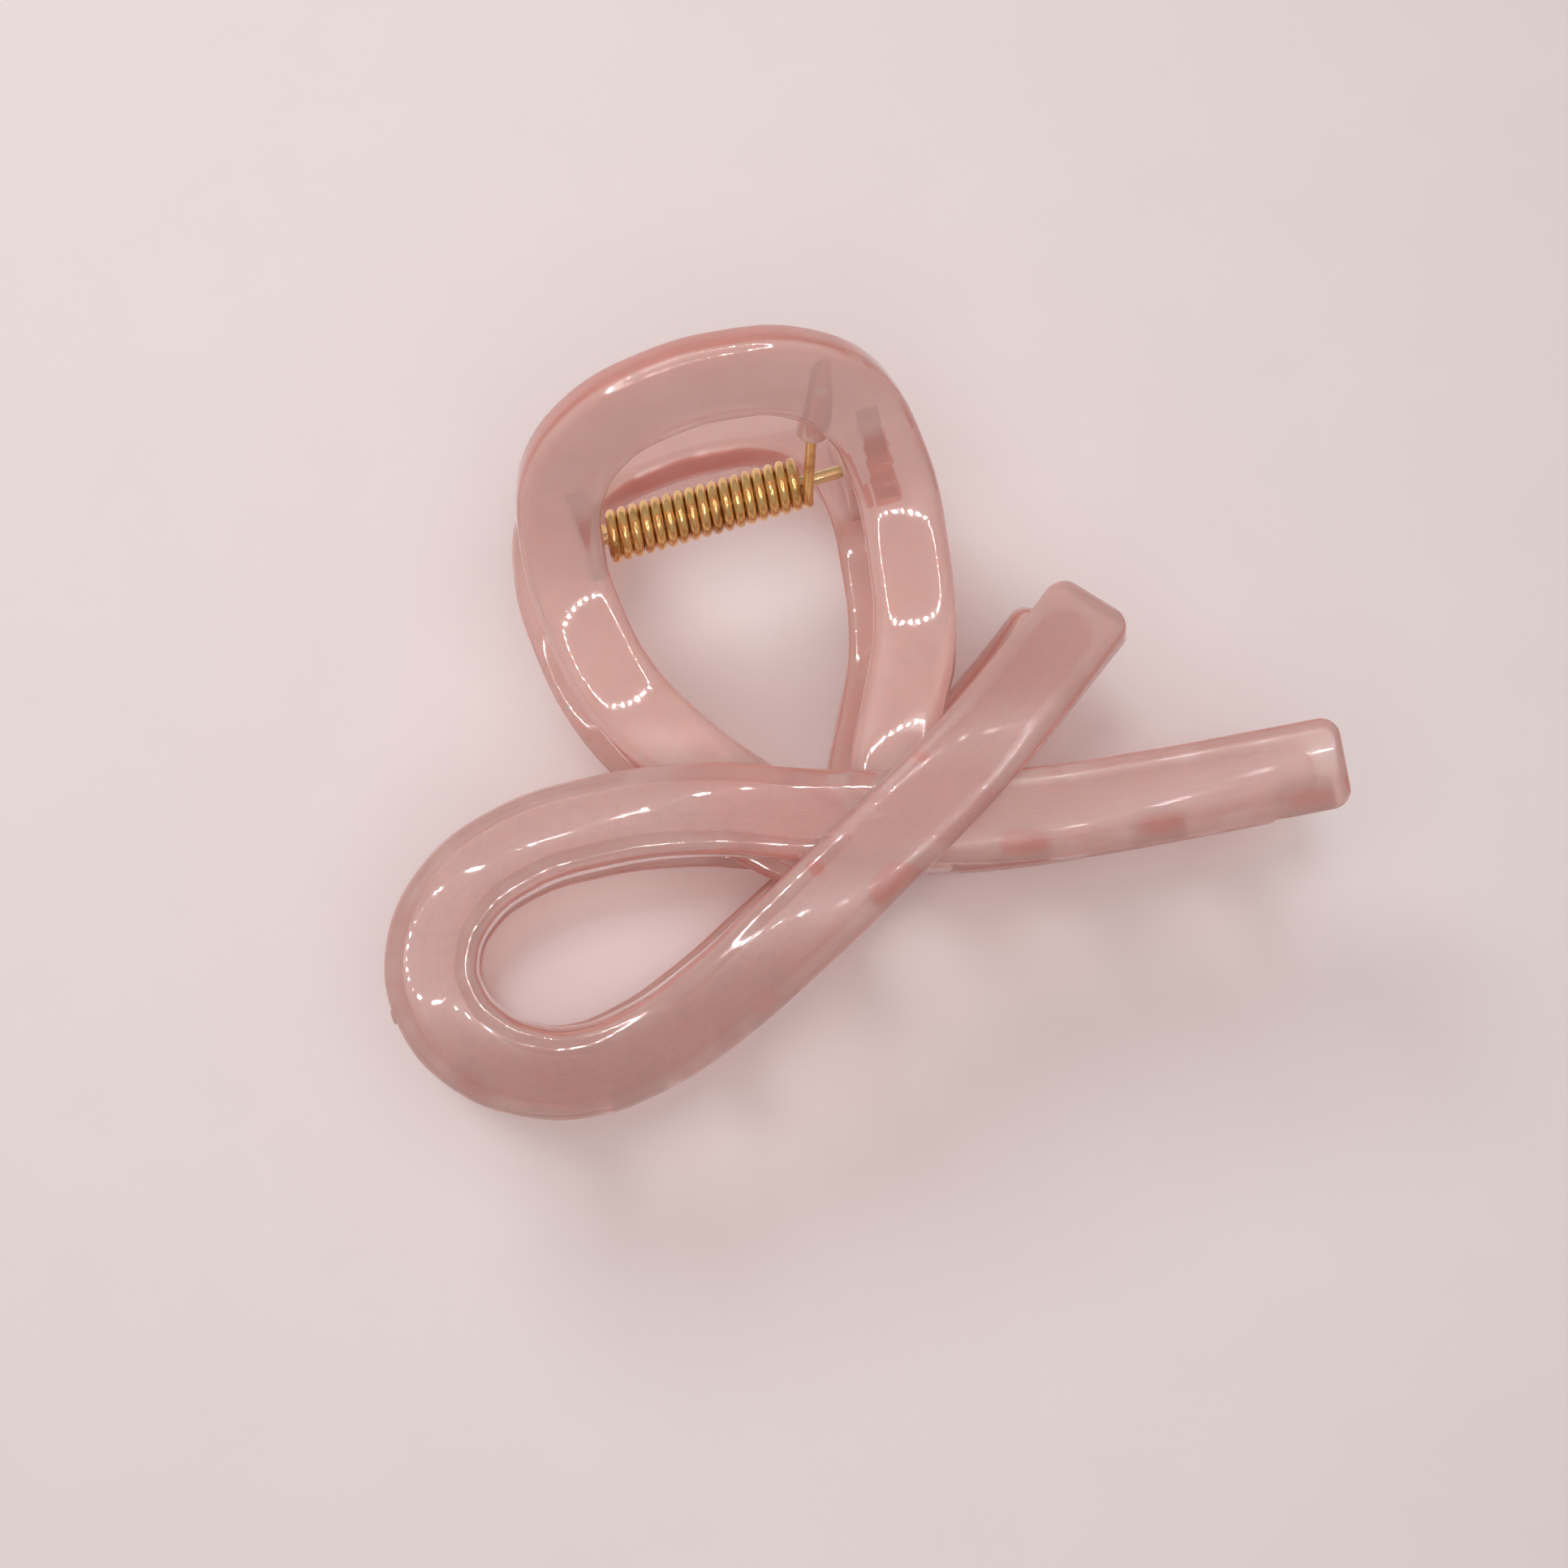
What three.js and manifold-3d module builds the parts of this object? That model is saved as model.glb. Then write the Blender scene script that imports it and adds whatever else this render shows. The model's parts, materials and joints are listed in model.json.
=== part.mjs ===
// Ribbon-shaped hair claw: two moulded jaws on a hinge pin, sprung shut by a torsion spring.
// Millimetres. X runs along the hinge pin, Y towards the finger rings, Z up off the table.
//
// Each jaw is a flat pattern rolled over a curved side profile. A pattern point is (x, s, lift):
// s is the length along the profile from its waist, positive towards the finger ring, and
// lift is the height above the profile. The hinge axis is the X axis of this frame.

import * as THREE from 'three';
import { mergeVertices } from 'three/addons/utils/BufferGeometryUtils.js';
import Module from 'manifold-3d';

// side profile of the front jaw
const waistY = -14;           // lowest part of the profile, between hinge and ribbon
const waistZ = 10;
const handleRadius = 28;      // hollow arc up to the finger ring
const handleRise = 45;        // degrees where the ring's flat thumb face starts
const waistRadius = 32;       // hollow arc down to the ribbon
const bellyRadius = 47;       // round arc over the ribbon
const bellyStart = 22;        // degrees where the hollow arc turns into the round one

// bands
const bandWidth = 10.3;
const ringWidth = 9.4;
const ringCrest = 1.6;        // extra width at the top of the ring, where fingers press
const crestFrom = 13;         // s where the extra width starts and where it is full
const crestFull = 26;
const bandThick = 5;
const ringThick = 4.6;
const edgeCut = 1.1;          // chamfer along the band edges
const tailCorner = 2.2;       // rounded corner at a tail's end

// centre lines in the pattern: [x, s, lift]
const ringLine = [
  [2, -29, -0.6], [-3, -25.3, -0.4], [-7.5, -20.4, -0.2], [-13, -12, 0], [-17, -4, 0], [-18.9, 4.4, 0],
  [-19, 12, 0], [-16.8, 19.3, 0], [-11.5, 24.7, 0], [-4, 27.2, 0], [4, 27.2, 0], [11, 25, 0],
  [16.6, 19.8, 0], [19.2, 11.5, 0], [18.8, 2, 0], [16.8, -7, 0], [13.6, -15, 0], [10, -23.4, -0.3],
  [7, -31, -0.8],
];
const ribbonLine = [
  [58.4, -36, 1.6], [48, -35.2, 1.6], [37, -33.9, 1.6], [22, -31.3, 1.7], [10, -28.2, 1.8],
  [0, -25, 1.9], [-12, -20.8, 2], [-24, -18.9, 2], [-33, -19.3, 2], [-40.5, -22.6, 2],
  [-44.9, -28.6, 2], [-45.3, -34.4, 2], [-43, -39.7, 2], [-38.5, -43.8, 2], [-32.5, -45.8, 2],
  [-25, -45.1, 2.1], [-16, -41.8, 2.6], [-7, -37.3, 3.2], [1, -33.2, 3.5], [10, -28.5, 3.5],
  [20, -22.7, 3], [28.5, -16.9, 2.2], [37.5, -10.2, 1.2],
];

// teeth: [x along the band, 0 for the right tail or 1 for the loop and diagonal]
const toothRoot = [7, 4.4];
const toothTip = [3.8, 2];
const toothPast = 2.6;        // how far a tip reaches past the middle plane
const frontTeeth = [[53.5, 0], [37.5, 0], [21.5, 0], [4.5, 1], [-12, 1], [-28, 1], [-42, 1]];
const backTeeth = [[48.3, 0], [32.2, 0], [15.8, 0], [-1, 1], [-17.3, 1], [-33.4, 1]];

// hinge and spring
const pinRadius = 0.75;
const pinClear = 0.35;
const lugThick = 2.4;
const lugRadius = 3.2;
const lugStarts = [-17, 17.1];
const backShift = -2.7;       // the back jaw sits one lug thickness to the left
const wireRadius = 0.62;
const coilRadius = 2.55;
const coilTurns = 17;
const coilPitch = 1.38;
const coilEnd = 9.8;          // wire centre at the right end of the coil
const coilStart = coilEnd - coilTurns * coilPitch;
const legRun = [0.8, 4.6, 9.8, 16.4];
const legLean = [0, 0.9, 2.1, 3.8];     // how far the right leg has stepped sideways along its run
const leftLean = [0, 0.1, 2.2, 4.4];
const bossRadius = 1.9;
const gateNub = 0.8;

// direction that points straight down when the clip lies on its lower jaw
const restDown = [-0.0247, -0.1005, -0.9946];

const wasm = await Module();
wasm.setup();

const rad = THREE.MathUtils.degToRad;
const vec = (x, y, z) => new THREE.Vector3(x, y, z);

// height and slope of the profile at s
function profile(s) {
  const rise = rad(handleRise);
  const turn = rad(bellyStart);
  if (s > handleRadius * rise) {
    const over = s - handleRadius * rise;
    const y = waistY + handleRadius * Math.sin(rise) + over * Math.cos(rise);
    return { y, z: waistZ + handleRadius * (1 - Math.cos(rise)) + over * Math.sin(rise), slope: rise };
  }
  if (s > -waistRadius * turn) {
    const radius = s > 0 ? handleRadius : waistRadius;
    const a = s / radius;
    return { y: waistY + radius * Math.sin(a), z: waistZ + radius * (1 - Math.cos(a)), slope: a };
  }
  const b = turn + (s + waistRadius * turn) / bellyRadius;
  const y0 = waistY - waistRadius * Math.sin(turn);
  const z0 = waistZ + waistRadius * (1 - Math.cos(turn));
  return {
    y: y0 - bellyRadius * (Math.sin(turn) - Math.sin(b)),
    z: z0 + bellyRadius * (Math.cos(b) - Math.cos(turn)),
    slope: -b,
  };
}

function rolled(x, s, lift) {
  const p = profile(s);
  return vec(x, p.y - lift * Math.sin(p.slope), p.z + lift * Math.cos(p.slope));
}

// rectangle with cut corners, counter-clockwise
function cutRect(width, height, cut) {
  const w = width / 2;
  const shape = new THREE.Shape();
  shape.moveTo(-w + cut, -height);
  shape.lineTo(w - cut, -height);
  shape.lineTo(w, -height + cut);
  shape.lineTo(w, -cut);
  shape.lineTo(w - cut, 0);
  shape.lineTo(-w + cut, 0);
  shape.lineTo(-w, -cut);
  shape.lineTo(-w, -height + cut);
  shape.closePath();
  return shape;
}

// a straight bar of the given section, bent by place(x, y, index of the step)
function bentBar(shape, steps, place) {
  const geometry = new THREE.ExtrudeGeometry(shape, { depth: steps, steps, bevelEnabled: false });
  geometry.deleteAttribute('normal');
  geometry.deleteAttribute('uv');
  const at = geometry.attributes.position;
  for (let i = 0; i < at.count; i++) {
    const p = place(at.getX(i), at.getY(i), Math.round(at.getZ(i)));
    at.setXYZ(i, p.x, p.y, p.z);
  }
  return geometry;
}

function solid(geometry) {
  const bare = geometry.clone();
  for (const name of ['normal', 'uv']) bare.deleteAttribute(name);
  const merged = mergeVertices(bare, 1e-4);
  return new wasm.Manifold(new wasm.Mesh({
    numProp: 3,
    vertProperties: new Float32Array(merged.attributes.position.array),
    triVerts: new Uint32Array(merged.index.array),
  }));
}

function toGeometry(body) {
  const mesh = body.getMesh();
  const geometry = new THREE.BufferGeometry();
  geometry.setAttribute('position', new THREE.BufferAttribute(new Float32Array(mesh.vertProperties), 3));
  geometry.setIndex(Array.from(mesh.triVerts));
  geometry.computeVertexNormals();
  return geometry;
}

// centre line sampled by length, with closer steps where a tail end is rounded
function stations(points, count, roundStart, roundEnd) {
  const line = new THREE.CatmullRomCurve3(points.map((p) => vec(...p)), false, 'centripetal');
  const length = line.getLength();
  const ends = [0, 0.12, 0.4, 1].map((f) => f * tailCorner);
  const first = roundStart ? ends : [0];
  const last = roundEnd ? ends.map((d) => length - d).reverse() : [length];
  const from = first[first.length - 1];
  const to = last[0];
  const middle = [];
  for (let i = 1; i < count; i++) middle.push(from + ((to - from) * i) / count);
  return [...first, ...middle, ...last].map((d) => {
    const t = THREE.MathUtils.clamp(d / length, 0, 1);
    const p = line.getPointAt(t);
    const dir = line.getTangentAt(t);
    const flat = Math.hypot(dir.x, dir.y);
    const near = Math.min(roundStart ? d : length, roundEnd ? length - d : length);
    const inset = near < tailCorner ? tailCorner - Math.sqrt(tailCorner ** 2 - (tailCorner - near) ** 2) : 0;
    return { d, p, left: [-dir.y / flat, dir.x / flat], inset };
  });
}

function band(line, width, thick, crest = 0) {
  const half = width / 2;
  return bentBar(cutRect(width, thick, edgeCut), line.length - 1, (a, h, i) => {
    const { p, left, inset } = line[i];
    const wider = (crest / 2) * THREE.MathUtils.smoothstep(p.y, crestFrom, crestFull);
    const side = a * ((half - inset + wider) / half);
    return rolled(p.x + side * left[0], p.y + side * left[1], p.z + h);
  });
}

// a tooth grows from the outer edge of the band down past the middle plane
function tooth(line, x, onLoop) {
  const part = line.filter((st) => (onLoop ? st.p.y < -27 && st.d > line[line.length - 1].d * 0.4 : st.d < 62));
  const st = part.reduce((best, q) => (Math.abs(q.p.x - x) < Math.abs(best.p.x - x) ? q : best));
  const out = onLoop ? -1 : 1;
  const o = [st.left[0] * out, st.left[1] * out];
  const reach = bandWidth / 2 - toothRoot[1] / 2 - 0.35;
  const root = rolled(st.p.x + o[0] * reach, st.p.y + o[1] * reach, st.p.z - 2.2);
  const along = vec(-o[1], o[0], 0);
  const outward = vec(o[0], o[1], 0);
  const drop = root.z + toothPast;
  const rows = [[0, 1, 0], [0.35, 0.94, 0.5], [0.7, 0.8, 0.9], [0.93, 0.66, 1.2], [1, 0.42, 1.3]];
  return solid(bentBar(cutRect(1, 1, 0.22), rows.length - 1, (a, b, i) => {
    const [fall, size, lean] = rows[i];
    const wide = i < 4 ? THREE.MathUtils.lerp(toothTip[0], toothRoot[0], (size - 0.66) / 0.34) : toothTip[0] * 0.6;
    const deep = i < 4 ? THREE.MathUtils.lerp(toothTip[1], toothRoot[1], (size - 0.66) / 0.34) : toothTip[1] * 0.5;
    return root.clone()
      .addScaledVector(along, a * wide)
      .addScaledVector(outward, (b + 0.5) * deep + lean)
      .add(vec(0, 0, -drop * fall));
  }));
}

// side plate around the pin, rooted in the ring limb
function lug(x) {
  const shape = new THREE.Shape();
  const base = (s, down) => { const p = rolled(0, s, -down); return [p.y, p.z]; };
  const tangent = rad(12);
  shape.moveTo(...base(20.3, 2.2));
  shape.lineTo(...base(14, 2.2));
  shape.lineTo(...base(7.6, 2.2));
  shape.absarc(0, 0, lugRadius, Math.PI + tangent, 2 * Math.PI - tangent * 0.4, false);
  shape.closePath();
  const plate = new THREE.ExtrudeGeometry(shape, { depth: lugThick, bevelEnabled: false, curveSegments: 10 });
  return solid(plate.applyMatrix4(standing(x)));
}

// turns a shape drawn in (y, z) and extruded along x into place
function standing(x) {
  return new THREE.Matrix4().set(0, 0, 1, x, 1, 0, 0, 0, 0, 1, 0, 0, 0, 0, 0, 1);
}

function rod(from, to, radius, sides) {
  const dir = to.clone().sub(from);
  const cylinder = new THREE.CylinderGeometry(radius, radius, dir.length(), sides, 1);
  cylinder.applyQuaternion(new THREE.Quaternion().setFromUnitVectors(vec(0, 1, 0), dir.clone().normalize()));
  return cylinder.translate(...from.clone().add(to).multiplyScalar(0.5).toArray());
}

// The leg leaves the coil along a tangent and runs into the jaw's boss.
const legAngle = Math.atan2(8.6, 3.4) + Math.acos(coilRadius / Math.hypot(8.6, 3.4));
const legDir = [Math.sin(legAngle), -Math.cos(legAngle)];
function legPoint(run, step) {
  return vec(
    coilEnd + 0.05 + step,
    coilRadius * Math.cos(legAngle) + legDir[0] * run,
    coilRadius * Math.sin(legAngle) + legDir[1] * run,
  );
}
const legLine = legRun.map((run, i) => legPoint(run, legLean[i]));
const leftLine = legRun.map((run, i) => {
  const p = legPoint(run, leftLean[i]);
  return vec(coilStart + coilEnd - p.x, p.y, -p.z);
});

// One jaw as the front one; `flip` puts the spring boss on the left for the back jaw.
function jaw(teeth, flip, shift) {
  const ring = stations(ringLine, 44, false, false);
  const ribbon = stations(ribbonLine, 66, true, true);
  let body = solid(band(ring, ringWidth, ringThick, ringCrest)).add(solid(band(ribbon, bandWidth, bandThick)));
  for (const [x, onLoop] of teeth) body = body.add(tooth(ribbon, x, onLoop));
  for (const x of lugStarts) body = body.add(lug(x));

  // the back jaw is drawn as the other hand, so its leg is drawn there too
  const place = (p) => (flip ? vec(p.x - shift, p.y, -p.z) : p);
  const [, knee, entry, tip] = (flip ? leftLine : legLine).map(place);
  const out = tip.clone().sub(entry).normalize();
  const end = tip.clone().addScaledVector(out, 0.5);
  const boss = rod(entry.clone().addScaledVector(out, -0.4), end.clone().addScaledVector(out, 0.8), bossRadius, 12);
  body = body.add(solid(boss));
  body = body.subtract(solid(rod(entry.clone().addScaledVector(out, -3), end, wireRadius + 0.35, 10)));
  const kneeDir = entry.clone().sub(knee).normalize();
  body = body.subtract(solid(rod(knee, entry.clone().addScaledVector(kneeDir, 1.2), wireRadius + 0.35, 10)));
  body = body.subtract(solid(rod(vec(-24, 0, 0), vec(24, 0, 0), pinRadius + pinClear, 20)));

  const nubAt = rolled(-50.3, -31.5, 0.2);
  body = body.add(solid(rod(nubAt, nubAt.clone().add(vec(-gateNub, 0, 0)), 1, 10)));
  return toGeometry(body);
}

// the other hand of a jaw: through the middle plane, and along the pin
function otherHand(geometry, shift) {
  const turned = geometry.clone().applyMatrix4(new THREE.Matrix4().makeScale(1, 1, -1));
  const index = turned.index.array;
  for (let i = 0; i < index.length; i += 3) [index[i], index[i + 1]] = [index[i + 1], index[i]];
  turned.translate(shift, 0, 0);
  turned.computeVertexNormals();
  return turned;
}

// wire centre line: left leg, left-handed coil, right leg
class SpringLine extends THREE.Curve {
  constructor() {
    super();
    const coil = [];
    const perTurn = 11;
    const startAngle = -legAngle;
    const sweep = -(coilTurns * 2 * Math.PI + (2 * Math.PI - 2 * legAngle) % (2 * Math.PI));
    const count = Math.round((Math.abs(sweep) / (2 * Math.PI)) * perTurn);
    for (let i = 0; i <= count; i++) {
      const a = startAngle + (sweep * i) / count;
      const x = THREE.MathUtils.lerp(coilStart, coilEnd, i / count);
      coil.push(vec(x, coilRadius * Math.cos(a), coilRadius * Math.sin(a)));
    }
    this.points = [...leftLine.slice(1).reverse(), ...coil, ...legLine.slice(1)];
  }
}

// six-sided wire swept through the points
function wire(points, radius) {
  const shape = new THREE.Shape();
  for (let i = 0; i < 6; i++) {
    const a = (i * Math.PI) / 3;
    shape[i ? 'lineTo' : 'moveTo'](radius * Math.cos(a), radius * Math.sin(a));
  }
  shape.closePath();
  const steer = points.map((p, i) => {
    const a = points[Math.max(i - 1, 0)];
    const b = points[Math.min(i + 1, points.length - 1)];
    const ahead = b.clone().sub(a).normalize();
    const side = vec(1, 0, 0).addScaledVector(ahead, -ahead.x).normalize();
    return { side, up: ahead.clone().cross(side) };
  });
  return bentBar(shape, points.length - 1, (a, b, i) => points[i].clone()
    .addScaledVector(steer[i].side, a)
    .addScaledVector(steer[i].up, b));
}

const plastic = () => new THREE.MeshStandardMaterial({ color: 0xd9a79c, roughness: 0.16, metalness: 0 });
const gilt = () => new THREE.MeshStandardMaterial({ color: 0xb58a4e, roughness: 0.26, metalness: 1 });

function named(name, geometry, material) {
  const mesh = new THREE.Mesh(geometry, material);
  mesh.name = name;
  return mesh;
}

const clip = new THREE.Group();
clip.add(named('front_jaw', jaw(frontTeeth, false, 0), plastic()));
clip.add(named('back_jaw', otherHand(jaw(backTeeth, true, backShift), backShift), plastic()));

const pinFrom = lugStarts[0] + backShift;
const pinTo = lugStarts[1] + lugThick;
clip.add(named('hinge_pin', rod(vec(pinFrom - 0.4, 0, 0), vec(pinTo + 0.4, 0, 0), pinRadius, 18), gilt()));
clip.add(named('torsion_spring', wire(new SpringLine().points, wireRadius), gilt()));
clip.quaternion.setFromUnitVectors(vec(...restDown).normalize(), vec(0, 0, -1));

// lowest point on the table, centred over the origin
const assembly = new THREE.Group();
assembly.add(clip);
assembly.updateMatrixWorld(true);
const box = new THREE.Box3().setFromObject(clip, true);
clip.position.set(-(box.min.x + box.max.x) / 2, -(box.min.y + box.max.y) / 2, -box.min.z);

export default assembly;
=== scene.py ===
import bpy
import json
import math
from mathutils import Matrix, Vector
from mathutils.bvhtree import BVHTree
from mathutils.geometry import interpolate_bezier
from mathutils.kdtree import KDTree


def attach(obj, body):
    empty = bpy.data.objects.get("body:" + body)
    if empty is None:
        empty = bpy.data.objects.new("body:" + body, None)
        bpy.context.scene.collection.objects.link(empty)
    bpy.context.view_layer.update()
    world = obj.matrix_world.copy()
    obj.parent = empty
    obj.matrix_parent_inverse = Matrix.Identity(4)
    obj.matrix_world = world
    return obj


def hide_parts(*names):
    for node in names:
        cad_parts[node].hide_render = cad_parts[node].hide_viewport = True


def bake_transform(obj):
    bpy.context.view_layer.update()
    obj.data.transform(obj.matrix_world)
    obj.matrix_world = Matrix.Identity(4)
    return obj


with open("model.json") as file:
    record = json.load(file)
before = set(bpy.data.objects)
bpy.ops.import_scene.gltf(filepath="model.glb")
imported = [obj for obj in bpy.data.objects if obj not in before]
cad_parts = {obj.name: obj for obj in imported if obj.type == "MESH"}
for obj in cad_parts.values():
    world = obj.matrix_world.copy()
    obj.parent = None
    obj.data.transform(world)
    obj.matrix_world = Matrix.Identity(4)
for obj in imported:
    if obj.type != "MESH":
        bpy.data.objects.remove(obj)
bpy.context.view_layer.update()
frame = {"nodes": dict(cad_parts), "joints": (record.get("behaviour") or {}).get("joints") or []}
print("frame loaded:", ", ".join(frame["nodes"]))

# Everything is modelled in millimetres around the hinge axis, front jaw up, and laid down at the end.
hingePoint = Vector(frame["joints"][0]["pos_m"])
restDown = Vector((-0.0247, -0.1005, -0.9946))      # points down when the clip lies on its lower jaw
lieDown = restDown.rotation_difference(Vector((0, 0, -1))).to_matrix().to_4x4()
toTable = Matrix.Translation(hingePoint) @ lieDown @ Matrix.Scale(0.001, 4)


def pick(obj):
    bpy.ops.object.select_all(action="DESELECT")
    obj.select_set(True)
    bpy.context.view_layer.objects.active = obj


def applied(obj, kind, **settings):
    pick(obj)
    mod = obj.modifiers.new(kind.title(), kind)
    for key, value in settings.items():
        setattr(mod, key, value)
    bpy.ops.object.modifier_apply(modifier=mod.name)


def boolean(obj, other, operation):
    applied(obj, "BOOLEAN", operation=operation, solver="MANIFOLD", object=other)
    bpy.data.objects.remove(other)


def joined(parts, name):
    bpy.ops.object.select_all(action="DESELECT")
    for part in parts:
        part.select_set(True)
    bpy.context.view_layer.objects.active = parts[0]
    bpy.ops.object.join()
    parts[0].name = name
    return parts[0]


def cleaned(obj, merge=0.002):
    pick(obj)
    bpy.ops.object.mode_set(mode="EDIT")
    bpy.ops.mesh.select_all(action="SELECT")
    bpy.ops.mesh.remove_doubles(threshold=merge)
    bpy.ops.mesh.normals_make_consistent(inside=False)
    bpy.ops.object.mode_set(mode="OBJECT")


def finished(obj, name, smoothAngle=38):
    obj.data.transform(toTable @ obj.matrix_world)
    obj.matrix_world = Matrix.Identity(4)
    obj.name = obj.data.name = name
    pick(obj)
    bpy.ops.object.shade_smooth_by_angle(angle=math.radians(smoothAngle))
    return obj


def drawCurve(name, points, steps):
    bpy.ops.object.select_all(action="DESELECT")
    bpy.ops.curve.primitive_bezier_curve_add()
    curve = bpy.context.object
    curve.name = name
    spline = curve.data.splines[0]
    spline.bezier_points.add(len(points) - 2)
    for knot, point in zip(spline.bezier_points, points):
        knot.co = point
        knot.handle_left_type = knot.handle_right_type = "AUTO"
    curve.data.resolution_u = steps
    curve.data.twist_mode = "Z_UP"
    return curve


def rod(start, end, radius, sides=32, round=0.0, endRadius=None):
    start, end = Vector(start), Vector(end)
    run = end - start
    bpy.ops.object.select_all(action="DESELECT")
    bpy.ops.mesh.primitive_cone_add(
        vertices=sides, radius1=radius, radius2=endRadius or radius, depth=run.length)
    obj = bpy.context.object
    if round:
        applied(obj, "BEVEL", width=round, segments=4, limit_method="ANGLE",
                angle_limit=math.radians(60))
    turn = run.to_track_quat("Z", "Y").to_matrix().to_4x4()
    obj.data.transform(Matrix.Translation((start + end) / 2) @ turn)
    obj.matrix_world = Matrix.Identity(4)
    return obj


# the jaws: flat pattern (x, s, lift) rolled over the side profile

profile = {
    "waist": (-14, 10),        # y and z of the lowest point
    "handleRadius": 28, "handleRise": 45,
    "waistRadius": 32, "bellyStart": 22, "bellyRadius": 47,
}

jawBands = {
    "ringLine": [
        (2, -29, -0.6), (-2.2, -25.3, -0.4), (-6.6, -20.4, -0.2), (-12.6, -12, 0), (-17, -4, 0),
        (-18.9, 4.4, 0),
        (-19, 12, 0), (-16.8, 19.3, 0), (-11.5, 24.5, 0), (-4, 26.8, 0), (4, 26.8, 0), (11, 24.8, 0),
        (16.6, 19.8, 0), (19.2, 11.5, 0), (18.8, 2, 0), (16.8, -7, 0), (13, -15, 0), (9.2, -23.4, -0.3),
        (7, -31, -0.8)],
    "ribbonLine": [
        (58.4, -35.4, 1.6), (55.8, -35.2, 1.6), (48, -34.5, 1.6), (37, -33.4, 1.6), (22, -31.3, 1.7),
        (10, -28.2, 1.8), (0, -25, 1.9), (-12, -20.8, 2), (-24, -18.9, 2), (-33, -19.3, 2),
        (-40.7, -22.6, 2), (-45.2, -28.6, 2), (-45.6, -34.4, 2), (-43.2, -39.7, 2), (-38.5, -43.8, 2),
        (-32.5, -45.8, 2), (-25, -45.1, 2.1), (-16, -41.8, 2.6), (-7, -37.3, 3.2), (1, -33.2, 3.5),
        (10, -28.5, 3.5), (20, -22.7, 3), (28.5, -16.6, 2.2), (35.4, -11.1, 1.4), (37.4, -9.5, 1.2)],
    "ringSize": (9.4, 4.6, 0.36),                       # width, thickness, crown of the face
    "ribbonSize": (10.3, 5, 0),
    "shoulder": 1.9, "fullness": 3.6,                   # without a crown the face is one soft oval
    "ringCrest": 0.9, "crestFrom": 13, "crestFull": 26,     # extra width where fingers press
    "edge": 1.8, "underEdge": 1.0,
    "tailCorner": 2.2, "tailEdge": 1.1,
    "gateMark": (-50, -33.6, 0.2),
}


def sideProfile(s):
    rise, turn = math.radians(profile["handleRise"]), math.radians(profile["bellyStart"])
    waistY, waistZ = profile["waist"]
    handle, waist, belly = profile["handleRadius"], profile["waistRadius"], profile["bellyRadius"]
    if s > handle * rise:
        over = s - handle * rise
        return (waistY + handle * math.sin(rise) + over * math.cos(rise),
                waistZ + handle * (1 - math.cos(rise)) + over * math.sin(rise), rise)
    if s > -waist * turn:
        radius = handle if s > 0 else waist
        turned = s / radius
        return waistY + radius * math.sin(turned), waistZ + radius * (1 - math.cos(turned)), turned
    b = turn + (s + waist * turn) / belly
    return (waistY - waist * math.sin(turn) - belly * (math.sin(turn) - math.sin(b)),
            waistZ + waist * (1 - math.cos(turn)) + belly * (math.cos(b) - math.cos(turn)), -b)


def rolled(x, s, lift):
    y, z, slope = sideProfile(s)
    return Vector((x, y - lift * math.sin(slope), z + lift * math.cos(slope)))


def bandSection(size):
    width, thick, drop = size
    half, edge, under = width / 2, jawBands["edge"], jawBands["underEdge"]
    points = []
    if drop:
        for i in range(17):                              # crowned face
            x = (half - edge) * (1 - i / 8)
            points.append((x, -drop * (x / half) ** 2))
        face, low = len(points), points[-1][1]
        for i in range(1, 9):                            # left edge, rounding under to the side
            a = math.radians(98 + 82 * i / 8)
            points.append((-half + edge + edge * math.cos(a), low - edge + edge * math.sin(a)))
    else:
        deep, full = jawBands["shoulder"], jawBands["fullness"]
        for i in range(37):                              # oval face, side to side
            x = math.sin(math.radians(90 - 5 * i))
            points.append((half * x, deep * (1 - abs(x) ** full) ** (1 / full) - deep))
        face = len(points)
    for i in range(5):
        a = math.radians(180 + 90 * i / 4)
        points.append((-half + under + under * math.cos(a), -thick + under + under * math.sin(a)))
    mirrored = [(-x, y) for x, y in reversed(points[face:])]
    across = half - under
    flat = [(across * (i / 6 - 1), -thick) for i in range(1, 12)]
    return points + flat + mirrored


def sweptBand(name, line, size, steps=18):
    path = drawCurve(name + "Path", line, steps)
    bpy.ops.object.select_all(action="DESELECT")
    bpy.ops.curve.primitive_nurbs_path_add()
    section = bpy.context.object
    section.data.splines.clear()
    section.data.dimensions = "2D"
    outline = bandSection(size)
    spline = section.data.splines.new("POLY")
    spline.points.add(len(outline) - 1)
    for point, (x, y) in zip(spline.points, outline):
        point.co = (x, y, 0, 1)
    spline.use_cyclic_u = True
    path.data.bevel_mode = "OBJECT"
    path.data.bevel_object = section
    path.data.use_fill_caps = True
    pick(path)
    bpy.ops.object.convert(target="MESH")
    band = bpy.context.object
    band.name = name
    bpy.data.objects.remove(section)
    cleaned(band, 0.01)
    return band


def widenTop(ring, line):
    # spreads the ring's band about its middle line, towards the top
    samples = pathSamples(line)
    near = KDTree(len(samples))
    for i, p in enumerate(samples):
        near.insert((p.x, p.y, 0), i)
    near.balance()
    start, full = jawBands["crestFrom"], jawBands["crestFull"]
    for v in ring.data.vertices:
        middle = near.find((v.co.x, v.co.y, 0))[0]
        t = min(max((middle.y - start) / (full - start), 0), 1)
        spread = 1 + jawBands["ringCrest"] / jawBands["ringSize"][0] * t * t * (3 - 2 * t)
        v.co.x = middle.x + (v.co.x - middle.x) * spread
        v.co.y = middle.y + (v.co.y - middle.y) * spread


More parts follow.
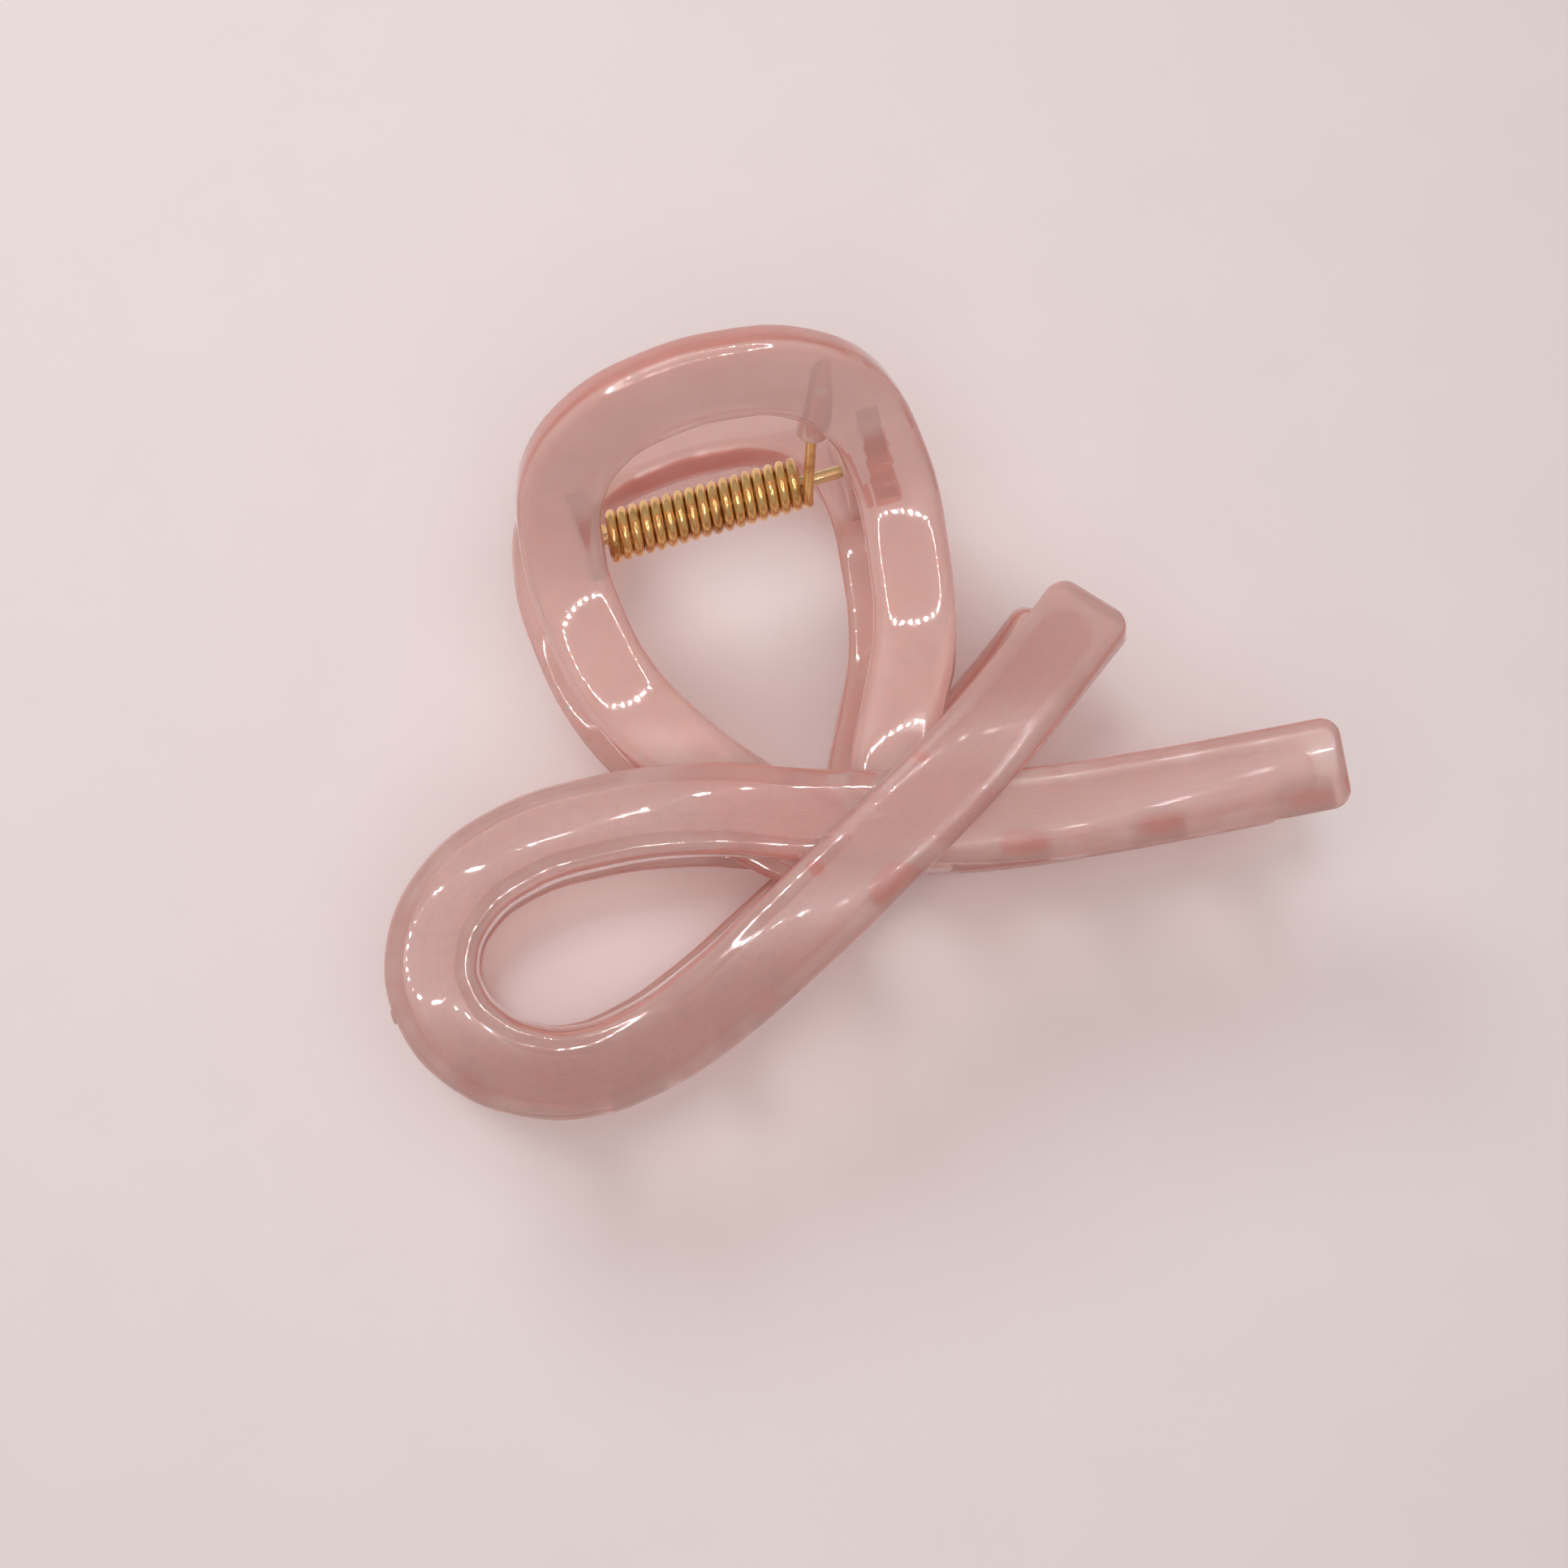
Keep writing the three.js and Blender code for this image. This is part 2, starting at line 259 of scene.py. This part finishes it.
def roundTail(band, end, inward, size):
    # pulls the corners of a tail's end in, seen from above and from the side
    end = Vector(end)
    inward = Vector((inward[0], inward[1], 0)).normalized()
    across = Vector((-inward.y, inward.x, 0))
    half, thick = size[0] / 2, size[1]
    corner, edge = jawBands["tailCorner"], jawBands["tailEdge"]
    for v in band.data.vertices:
        out = v.co - end
        d = max(out.dot(inward), 0)
        if d > corner or abs(out.dot(across)) > half + 1 or abs(out.z) > thick + 1:
            continue
        side = out.dot(across)
        inset = corner - math.sqrt(corner ** 2 - (corner - d) ** 2)
        v.co -= across * side * (inset / half)
        if d < edge:
            dip = edge - math.sqrt(edge ** 2 - (edge - d) ** 2)
            v.co.z = min(max(v.co.z, end.z - thick + dip), end.z - dip)


def rollOver(obj):
    for v in obj.data.vertices:
        v.co = rolled(*v.co)


def pathSamples(line, count=12):
    out = []
    curve = drawCurve("measure", line, count)
    bpy.context.view_layer.update()
    knots = curve.data.splines[0].bezier_points
    for a, b in zip(knots, knots[1:]):
        out += interpolate_bezier(a.co, a.handle_right, b.handle_left, b.co, count + 1)[:-1]
    out.append(knots[-1].co.copy())
    bpy.data.objects.remove(curve)
    return out


teeth = {
    "root": (7, 4.4), "tip": (3.8, 2.1), "past": 2.6, "lean": 1.3, "sink": 2.2, "inFrom": 0.35,
    "front": [(53.5, 0), (37.5, 0), (21.5, 0), (4.5, 1), (-12, 1), (-28, 1), (-42, 1)],
    "back": [(48.3, 0), (32.2, 0), (15.8, 0), (-1, 1), (-17.3, 1), (-33.4, 1)],
}


def toothModel():
    # one unit long, growing down from the origin; x across its width, y outwards
    bpy.ops.object.select_all(action="DESELECT")
    bpy.ops.mesh.primitive_circle_add(vertices=32, radius=0.5, fill_type="NGON")
    tooth = bpy.context.object
    for v in tooth.data.vertices:                        # squarer than a circle
        a = math.atan2(v.co.y, v.co.x)
        v.co.x = 0.5 * math.copysign(abs(math.cos(a)) ** 0.62, math.cos(a))
        v.co.y = 0.5 * math.copysign(abs(math.sin(a)) ** 0.62, math.sin(a))
    rows = [0.12, 0.25, 0.4, 0.55, 0.7, 0.82, 0.9, 0.95, 0.98, 1.0]
    wide, deep, at = teeth["root"][0], teeth["root"][1], 0.0
    pick(tooth)
    tooth.data.transform(Matrix.Diagonal((wide, deep, 1, 1)))
    lean = 0.0
    bpy.ops.object.mode_set(mode="EDIT")
    bpy.ops.mesh.select_all(action="SELECT")
    roundFrom = 0.85                                     # below this the end is rounded off
    for row in rows:
        t = min(row / roundFrom, 1) ** 1.15
        newWide = teeth["root"][0] + (teeth["tip"][0] - teeth["root"][0]) * t
        newDeep = teeth["root"][1] + (teeth["tip"][1] - teeth["root"][1]) * t
        if row > roundFrom:
            shrink = math.sqrt(max(1 - ((row - roundFrom) / 0.152) ** 2, 0.02))
            newWide, newDeep = newWide * shrink, newDeep * shrink
        newLean = teeth["lean"] * math.sin(row * math.pi / 2)
        bpy.ops.mesh.extrude_region_move(TRANSFORM_OT_translate={"value": (0, newLean - lean, at - row)})
        bpy.ops.transform.resize(
            value=(newWide / wide, newDeep / deep, 1), center_override=(0, newLean, -row))
        wide, deep, at, lean = newWide, newDeep, row, newLean
    bpy.ops.object.mode_set(mode="OBJECT")
    cleaned(tooth)
    return tooth


def toothOn(model, samples, x, onLoop, width):
    picked = None
    for i in range(1, len(samples) - 1):
        p = samples[i]
        inPart = p.y < -27 and i > len(samples) * 0.4 if onLoop else i < len(samples) * 0.26
        if inPart and (picked is None or abs(p.x - x) < abs(samples[picked].x - x)):
            picked = i
    here = samples[picked]
    ahead = (samples[picked + 1] - samples[picked - 1])
    ahead.z = 0
    ahead.normalize()
    left = Vector((-ahead.y, ahead.x, 0))
    outward = -left if onLoop else left
    reach = width / 2 - teeth["root"][1] / 2 - teeth["inFrom"]
    root = rolled(here.x + outward.x * reach, here.y + outward.y * reach, here.z - teeth["sink"])
    along = Vector((outward.y, -outward.x, 0))
    tooth = model.copy()
    tooth.data = model.data.copy()
    bpy.context.scene.collection.objects.link(tooth)
    drop = root.z + teeth["past"]
    place = Matrix((
        (along.x, outward.x, 0, root.x),
        (along.y, outward.y, 0, root.y),
        (0, 0, drop, root.z),
        (0, 0, 0, 1)))
    tooth.data.transform(place)
    return tooth


# hinge and spring, shared by the jaws

hinge = {
    "pinRadius": 0.75, "bore": 1.1, "lugThick": 2.4, "lugRadius": 3.2, "lugEdge": 0.3,
    "lugReach": (7.6, 20.3), "lugSink": -2.2,            # where a lug runs into its limb
    "lugStarts": (-17, 17.1), "backShift": -2.7, "pinPast": 0.4,
}
spring = {
    "wire": 0.62, "coilRadius": 2.55, "turns": 17, "pitch": 1.38, "end": 9.8,
    "legRun": (0.8, 4.6, 9.8, 16.4), "rightLean": (0, 0.9, 2.1, 3.8), "leftLean": (0, 0.1, 2.2, 4.4),
    "bossRadius": 1.9, "bossTip": 1.35, "bossPast": 3.2, "slack": 0.33,
}
coilStart = spring["end"] - spring["turns"] * spring["pitch"]
legAim = (3.4, 8.6)        # y and z that the right leg points at, from the pin
legAngle = math.atan2(legAim[1], legAim[0]) + math.acos(spring["coilRadius"] / math.hypot(*legAim))


def legPoint(run, step):
    r = spring["coilRadius"]
    return Vector((spring["end"] + 0.05 + step,
                   r * math.cos(legAngle) + math.sin(legAngle) * run,
                   r * math.sin(legAngle) - math.cos(legAngle) * run))


rightLeg = [legPoint(run, lean) for run, lean in zip(spring["legRun"], spring["rightLean"])]
leftLeg = []
for run, lean in zip(spring["legRun"], spring["leftLean"]):
    p = legPoint(run, lean)
    leftLeg.append(Vector((coilStart + spring["end"] - p.x, p.y, -p.z)))


def lug(x):
    # side plate: a disc round the pin whose upper half is drawn up into the ring limb
    thick, radius = hinge["lugThick"], hinge["lugRadius"]
    bpy.ops.object.select_all(action="DESELECT")
    bpy.ops.mesh.primitive_cylinder_add(vertices=56, radius=radius, depth=thick)
    plate = bpy.context.object
    across = Matrix.Rotation(math.radians(90), 4, "Y")
    plate.data.transform(Matrix.Translation((x + thick / 2, 0, 0)) @ across)
    plate.matrix_world = Matrix.Identity(4)
    low, high = [rolled(0, s, hinge["lugSink"]) for s in hinge["lugReach"]]
    for v in plate.data.vertices:
        if v.co.z > 0.2:
            t = (v.co.y / radius + 1) / 2
            base = low.lerp(high, t)
            v.co.y, v.co.z = base.y, base.z
    cleaned(plate, 0.0001)
    applied(plate, "BEVEL", width=hinge["lugEdge"], segments=3, limit_method="ANGLE",
            angle_limit=math.radians(50))
    return plate


def makeJaw(name, teethAt, flip):
    shift = hinge["backShift"] if flip else 0
    ring = sweptBand(name + "Ring", jawBands["ringLine"], jawBands["ringSize"])
    widenTop(ring, jawBands["ringLine"])
    rollOver(ring)
    ribbon = sweptBand(name + "Ribbon", jawBands["ribbonLine"], jawBands["ribbonSize"])
    line = [Vector(p) for p in jawBands["ribbonLine"]]
    roundTail(ribbon, line[0], line[1] - line[0], jawBands["ribbonSize"])
    roundTail(ribbon, line[-1], line[-2] - line[-1], jawBands["ribbonSize"])
    rollOver(ribbon)

    samples = pathSamples(jawBands["ribbonLine"])
    model = toothModel()
    fittings = [toothOn(model, samples, x, onLoop, jawBands["ribbonSize"][0]) for x, onLoop in teethAt]
    bpy.data.objects.remove(model)
    fittings += [lug(x) for x in hinge["lugStarts"]]
    place = (lambda p: Vector((p.x - shift, p.y, -p.z))) if flip else (lambda p: p)
    entry, tip = [place(p) for p in (leftLeg if flip else rightLeg)[2:]]
    out = (tip - entry).normalized()
    end = tip + out * 0.5
    fittings.append(rod(entry - out * 0.4, end + out * spring["bossPast"], spring["bossRadius"], 40,
                        round=0.5, endRadius=spring["bossTip"]))
    gate = rolled(*jawBands["gateMark"])
    fittings.append(rod(gate, gate + Vector((-1.1, 0, 0)), 0.95, 24, round=0.25))

    body = ring
    boolean(body, ribbon, "UNION")
    boolean(body, joined(fittings, name + "Fittings"), "UNION")
    bores = [
        rod((-24, 0, 0), (24, 0, 0), hinge["bore"], 40),
        rod(entry - out * 3, end, spring["wire"] + spring["slack"], 24),
    ]
    boolean(body, bores[0], "DIFFERENCE")
    boolean(body, bores[1], "DIFFERENCE")
    if flip:
        body.data.transform(Matrix.Translation((shift, 0, 0)) @ Matrix.Diagonal((1, 1, -1, 1)))
        body.data.flip_normals()
    print(name, "modelled:", len(body.data.polygons), "faces")
    finished(body, name)
    measureDepth(body)
    measureCore(body, samples, flip)
    return body


plasticLook = {
    "clear": (208, 179, 173), "body": (200, 165, 158), "blotches": 0.7, "blotchScale": 95,
    "rich": (204, 128, 116), "richShare": 0.62,
    "thin": 0.0062, "thick": 0.009,             # metres of plastic behind the surface
    "core": (195, 149, 141), "coreWide": 0.0031, "coreSoft": 0.0009,
    "coreTrim": 0.0062,                         # how far before a tail's end the core stops
    "flowScale": 1500, "flowShare": 0.5,        # streaks along the ribbon
    # ring: the handle ring is painted lighter than the ribbon, painted light that makes up for its face
    # being turned away from the lamps
    "ring": (233, 198, 190), "ringPaintedLightShare": 0.5, "ringLightFrom": 0.0062, "ringLightFull": 0.0095,
    # paintedGlow: the plastic gives off a faint light of its own colour, a painted glow standing in for
    # light scattered inside it
    "transmission": 0.46, "paintedGlow": 0.035,
    "rough": 0.07, "scuffRough": 0.22, "scuffCoat": 0.9, "sparkleScale": 650,
    "flatWide": 0.0027, "flatSoft": 0.0004,     # the polish is worn off the flat of the ribbon
    "scuffFrom": 0.016, "scuffFull": 0.027,     # and most of it at the tails
    "lampShare": 0.64, "lampTint": (246, 227, 222),
}


def measureDepth(obj):
    # how much plastic lies behind each point of the surface, for the material's tint
    mesh = obj.data
    tree = BVHTree.FromObject(obj, bpy.context.evaluated_depsgraph_get())
    depth = mesh.attributes.new("depth", "FLOAT", "POINT")
    for v, value in zip(mesh.vertices, depth.data):
        start = v.co - v.normal * 0.00005
        hit = tree.ray_cast(start, -v.normal, 0.03)
        value.value = hit[3] if hit[0] else 0.03


def measureCore(obj, samples, flip):
    # distance of each point of the surface from the ribbon's middle line, for its darker core
    shift = hinge["backShift"] if flip else 0
    side = Matrix.Translation((shift, 0, 0)) @ Matrix.Diagonal((1, 1, -1 if flip else 1, 1))
    line = [toTable @ side @ rolled(*p) for p in samples]
    trim = plasticLook["coreTrim"]
    line = [p for p in line if min((p - line[0]).length, (p - line[-1]).length) > trim]
    near = KDTree(len(line))
    for i, p in enumerate(line):
        near.insert(p, i)
    near.balance()
    away = obj.data.attributes.new("away", "FLOAT", "POINT")
    for v, value in zip(obj.data.vertices, away.data):
        value.value = near.find(v.co)[2]


frontJaw = makeJaw("frontJaw", teeth["front"], False)
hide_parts("front_jaw")
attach(frontJaw, "front")
backJaw = makeJaw("backJaw", teeth["back"], True)
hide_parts("back_jaw")
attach(backJaw, "back")


def makePin():
    left = hinge["lugStarts"][0] + hinge["backShift"] - hinge["pinPast"]
    right = hinge["lugStarts"][1] + hinge["lugThick"] + hinge["pinPast"]
    pin = rod((left, 0, 0), (right, 0, 0), hinge["pinRadius"] - 0.005, 40, round=0.12)
    return finished(pin, "hingePin")


hingePin = makePin()
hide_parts("hinge_pin")
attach(hingePin, "back")


def makeSpring():
    # left leg, left-handed coil, right leg, as one wire
    startAngle = -legAngle
    sweep = -(spring["turns"] * 2 * math.pi + (2 * math.pi - 2 * legAngle) % (2 * math.pi))
    count = round(abs(sweep) / (2 * math.pi) * 12)
    r = spring["coilRadius"]
    coil = []
    for i in range(count + 1):
        a = startAngle + sweep * i / count
        x = coilStart + (spring["end"] - coilStart) * i / count
        coil.append(Vector((x, r * math.cos(a), r * math.sin(a))))
    points = leftLeg[:0:-1] + coil + rightLeg[1:]
    wire = drawCurve("springWire", points, 4)
    wire.data.bevel_depth = spring["wire"]
    wire.data.bevel_resolution = 5
    wire.data.use_fill_caps = True
    wire.data.twist_mode = "MINIMUM"
    pick(wire)
    bpy.ops.object.convert(target="MESH")
    wire = bpy.context.object
    cleaned(wire, 0.005)
    return finished(wire, "torsionSpring", 50)


torsionSpring = makeSpring()
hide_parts("torsion_spring")
toTable @ Vector((coilStart, 0, 0))
toTable @ Vector((spring["end"], 0, 0))
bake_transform(torsionSpring)
print("pin and spring modelled:", len(torsionSpring.data.polygons), "faces on the wire")


# shader helper: Python arithmetic on sockets adds Math nodes

class Socket:
    def __init__(self, shader, socket):
        self.shader, self.socket = shader, socket

    def combine(self, operation, a, b):
        return self.shader.add("ShaderNodeMath", {"operation": operation}, [a, b])

    def __add__(self, other):
        return self.combine("ADD", self, other)

    def __sub__(self, other):
        return self.combine("SUBTRACT", self, other)

    def __rsub__(self, other):
        return self.combine("SUBTRACT", other, self)

    def __mul__(self, other):
        return self.combine("MULTIPLY", self, other)


class Shader:
    def __init__(self, name):
        self.material = bpy.data.materials.new(name)
        self.material.use_nodes = True
        self.tree = self.material.node_tree
        self.surface = next(n for n in self.tree.nodes if n.type == "BSDF_PRINCIPLED")
        self.place = self.add("ShaderNodeTexCoord", {}, {}, "Object")

    def feed(self, node, inputs):
        pairs = inputs.items() if isinstance(inputs, dict) else enumerate(inputs)
        for key, value in pairs:
            if isinstance(value, Socket):
                self.tree.links.new(value.socket, node.inputs[key])
            else:
                node.inputs[key].default_value = value

    def add(self, kind, settings, inputs, output=0):
        node = self.tree.nodes.new(kind)
        stops = settings.pop("stops", None)
        for key, value in settings.items():
            setattr(node, key, value)
        if stops:
            ramp = node.color_ramp
            while len(ramp.elements) < len(stops):
                ramp.elements.new(0.5)
            for element, (position, colour) in zip(ramp.elements, stops):
                element.position, element.color = position, colour
        self.feed(node, inputs)
        return Socket(self, node.outputs[output])

    def mix(self, factor, a, b):
        node = self.tree.nodes.new("ShaderNodeMix")
        node.data_type = "RGBA"
        self.feed(node, {0: factor, 6: a, 7: b})
        return Socket(self, node.outputs[2])

    def noise(self, scale, detail=3, roughness=0.5, distortion=0.0):
        return self.add("ShaderNodeTexNoise", {}, {
            "Vector": self.place, "Scale": scale, "Detail": detail,
            "Roughness": roughness, "Distortion": distortion}, 0)

    def soft(self, value, low, high):
        return self.add("ShaderNodeMapRange", {"interpolation_type": "SMOOTHSTEP"}, {
            "Value": value, "From Min": low, "From Max": high}, 0)

    def bump(self, height, strength, distance):
        return self.add("ShaderNodeBump", {}, {
            "Height": height, "Strength": strength, "Distance": distance}, 0)

    def letLampsThrough(self, share, tint):
        # part of each lamp's light goes on through, so the shadow is pale and pink
        ray = self.add("ShaderNodeLightPath", {}, {}, "Is Shadow Ray")
        clear = self.add("ShaderNodeBsdfTransparent", {}, {"Color": rgb(*tint)}, 0)
        solid = Socket(self, self.surface.outputs[0])
        both = self.add("ShaderNodeMixShader", {}, {0: ray * share, 1: solid, 2: clear}, 0)
        out = next(n for n in self.tree.nodes if n.type == "OUTPUT_MATERIAL")
        self.tree.links.new(both.socket, out.inputs["Surface"])
        return self.material

    def finish(self, **inputs):
        self.feed(self.surface, {key.replace("_", " "): value for key, value in inputs.items()})
        return self.material


def rgb(red, green, blue):
    # display values 0-255 to a linear colour
    linear = [((c / 255 + 0.055) / 1.055) ** 2.4 if c > 10 else c / 255 / 12.92 for c in (red, green, blue)]
    return (*linear, 1)


def milkyPlastic(name):
    shader, look = Shader(name), plasticLook
    depth = shader.add("ShaderNodeAttribute", {"attribute_name": "depth"}, {}, 2)
    away = shader.add("ShaderNodeAttribute", {"attribute_name": "away"}, {}, 2)
    cloud = shader.noise(look["blotchScale"], 2, 0.5, 1.2)
    colour = shader.mix(
        shader.soft(cloud, 0.42, 0.62) * look["blotches"], rgb(*look["body"]), rgb(*look["clear"]))
    core = 1 - shader.soft(away + cloud * 0.0006, look["coreWide"], look["coreWide"] + look["coreSoft"])
    flow = shader.add("ShaderNodeTexNoise", {"noise_dimensions": "1D"},
                      {"W": away * look["flowScale"] + cloud * 1.5, "Detail": 2.0}, 0)
    colour = shader.mix(core * (flow * 0.7 + 0.35), colour, rgb(*look["core"]))
    colour = shader.mix(shader.soft(flow, 0.5, 0.66) * look["flowShare"], colour, rgb(*look["clear"]))
    # painted light: away from the ribbon's middle line the ring is painted lighter, making up for the light
    # its tilted face loses
    ringPaintedLight = shader.soft(away, look["ringLightFrom"], look["ringLightFull"])
    colour = shader.mix(ringPaintedLight * look["ringPaintedLightShare"], colour, rgb(*look["ring"]))
    deep = shader.soft(depth + cloud * 0.0012, look["thin"], look["thick"])
    colour = shader.mix(deep * look["richShare"], colour, rgb(*look["rich"]))

    x, y = [shader.add("ShaderNodeSeparateXYZ", {}, {"Vector": shader.place}, i) for i in (0, 1)]
    tails = shader.soft(x - y, look["scuffFrom"], look["scuffFull"])
    flats = 1 - shader.soft(away, look["flatWide"], look["flatWide"] + look["flatSoft"])
    scuffed = shader.add("ShaderNodeMath", {"operation": "MAXIMUM"}, [tails * 0.75, flats])
    sparkle = shader.soft(shader.noise(look["sparkleScale"], 3, 0.6), 0.5, 0.56)
    sink = shader.noise(240, 2, 0.5)
    shader.finish(
        Base_Color=colour, Roughness=scuffed * look["scuffRough"] + look["rough"],
        Normal=shader.bump(sink, 0.1, 0.0004), IOR=1.49,
        Transmission_Weight=look["transmission"],
        # painted glow: faint emission in the plastic's colour, standing in for light scattered inside the
        # plastic
        Emission_Color=colour, Emission_Strength=look["paintedGlow"],
        Subsurface_Weight=1.0, Subsurface_Radius=(1.0, 0.45, 0.35), Subsurface_Scale=0.004,
        Coat_Weight=1 - scuffed * (1 - sparkle * (1 - tails)) * look["scuffCoat"],
        Coat_Roughness=0.045, Coat_IOR=1.5)
    return shader.letLampsThrough(look["lampShare"], look["lampTint"])


goldLook = {"spring": (246, 200, 128), "pin": (240, 208, 152), "dark": (190, 126, 62)}


def goldWire(name, colour, rough):
    shader = Shader(name)
    wear = shader.noise(420, 4, 0.6)
    tone = shader.mix(shader.soft(wear, 0.45, 0.8), rgb(*colour), rgb(*goldLook["dark"]))
    drawn = shader.noise(2600, 2, 0.5)
    return shader.finish(
        Base_Color=tone, Metallic=0.84, Coat_Weight=0.6, Coat_Roughness=0.12,
        Roughness=shader.soft(wear, 0.2, 0.9) * 0.12 + rough,
        Normal=shader.bump(drawn, 0.15, 0.00005))


for piece, look in ((frontJaw, milkyPlastic("milky plastic front")),
                    (backJaw, milkyPlastic("milky plastic back")),
                    (hingePin, goldWire("gold pin", goldLook["pin"], 0.2)),
                    (torsionSpring, goldWire("gold spring wire", goldLook["spring"], 0.16))):
    piece.data.materials.clear()
    piece.data.materials.append(look)
print("materials made")


# floor, light and camera

studio = {
    "floor": (226, 213, 212), "floorSize": 1.6,
    "ringLamps": 40, "ringRadius": 0.145, "ringRise": 0.07, "ringPower": 0.07, "lampRadius": 0.0035,
    "frontPower": 1.1, "frontSize": 0.4, "skyLight": 0.3,
    "sidePower": 1.55, "sideFrom": (-0.16, 0.36, 0.46), "sideSize": 0.3,
}


def makeFloor():
    bpy.ops.object.select_all(action="DESELECT")
    bpy.ops.mesh.primitive_plane_add(size=studio["floorSize"])
    floor = bpy.context.object
    floor.name = "floor"
    shader = Shader("pale floor")
    mottled = shader.noise(60, 3, 0.6)
    colour = shader.mix(mottled, rgb(*studio["floor"]), rgb(*[c - 4 for c in studio["floor"]]))
    floor.data.materials.append(shader.finish(Base_Color=colour, Roughness=0.9))


camera = {"from": (-5.57, -48.45, 350), "to": (-2.12, -33.35, 0), "up": (0.276, 0.961, 0), "lens": 69.1}


def lookFrom(obj, place, target, up):
    back = (place - target).normalized()
    side = up.cross(back).normalized()
    turn = Matrix((side, back.cross(side), back)).transposed()
    obj.matrix_world = Matrix.Translation(place) @ turn.to_4x4()


def makeCamera():
    bpy.ops.object.select_all(action="DESELECT")
    bpy.ops.object.camera_add()
    cam = bpy.context.object
    cam.name = "camera"
    cam.data.lens = camera["lens"]
    cam.data.clip_start = 0.01
    turn = lieDown.to_3x3()
    place, target = toTable @ Vector(camera["from"]), toTable @ Vector(camera["to"])
    lookFrom(cam, place, target, turn @ Vector(camera["up"]))
    bpy.context.scene.camera = cam
    return cam


def makeLights(cam):
    world = bpy.data.worlds.new("soft sky")
    world.use_nodes = True
    sky = world.node_tree.nodes["Background"]
    sky.inputs["Color"].default_value = (1, 0.985, 0.975, 1)
    sky.inputs["Strength"].default_value = studio["skyLight"]
    bpy.context.scene.world = world
    above = cam.matrix_world.translation + Vector((0, 0, 0.1))
    softLamp("front light", studio["frontPower"], above, studio["frontSize"])
    softLamp("side light", studio["sidePower"], Vector(studio["sideFrom"]), studio["sideSize"])
    for i in range(studio["ringLamps"]):                 # ring lamp round the lens, seen only as glints
        a = 2 * math.pi * i / studio["ringLamps"]
        across = studio["ringRadius"] * math.cos(a)
        up = studio["ringRadius"] * math.sin(a) + studio["ringRise"]
        spot = cam.matrix_world @ Vector((across, up, 0))
        bpy.ops.object.light_add(type="POINT", location=spot)
        lamp = bpy.context.object
        lamp.name = "ring lamp %02d" % i
        lamp.data.energy = studio["ringPower"]
        lamp.data.shadow_soft_size = studio["lampRadius"]
        lamp.visible_diffuse = lamp.visible_transmission = lamp.visible_camera = False


def softLamp(name, power, place, size):
    bpy.ops.object.light_add(type="AREA")
    lamp = bpy.context.object
    lamp.name = name
    lamp.data.shape, lamp.data.size = "DISK", size
    lamp.data.energy = power
    lamp.visible_camera = lamp.visible_glossy = False
    lookFrom(lamp, place, Vector((0, 0, 0.02)), Vector((0, 1, 0)))


makeFloor()
makeLights(makeCamera())
bpy.context.scene.view_settings.view_transform = "Standard"
print("floor, light and camera placed")
